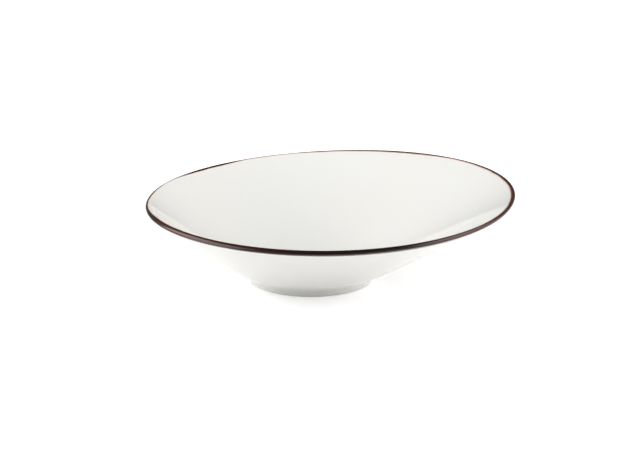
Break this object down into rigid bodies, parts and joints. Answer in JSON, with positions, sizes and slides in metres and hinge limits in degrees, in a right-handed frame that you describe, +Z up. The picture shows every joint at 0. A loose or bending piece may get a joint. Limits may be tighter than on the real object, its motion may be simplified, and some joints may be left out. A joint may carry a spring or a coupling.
{
  "type": "deep plate",
  "caption": "Deep round plate in white glazed porcelain with a brown rim, a flaring wall, a lopsided, gently tipped rim and a small dry foot ring; holds soup, pasta or salad.",
  "frame": {"origin": "on the table plane, under the centre of the round rim", "axes": "+Z up; +X toward the side where the rim stands highest and furthest from the foot; the part is alike on both sides of the XZ plane"},
  "size_m": [0.2506, 0.25, 0.0621],
  "materials": {
    "biscuit": "matt, bare fired porcelain, ground smooth on the foot",
    "white_glaze": "glossy warm white",
    "brown_glaze": "glossy black-brown to red-brown iron glaze"
  },
  "bodies": {
    "root": {"porcelain_body": "biscuit", "well_glaze": "white_glaze", "outer_glaze": "white_glaze", "base_glaze": "white_glaze", "rim_band": "brown_glaze"}
  },
  "joints": []
}
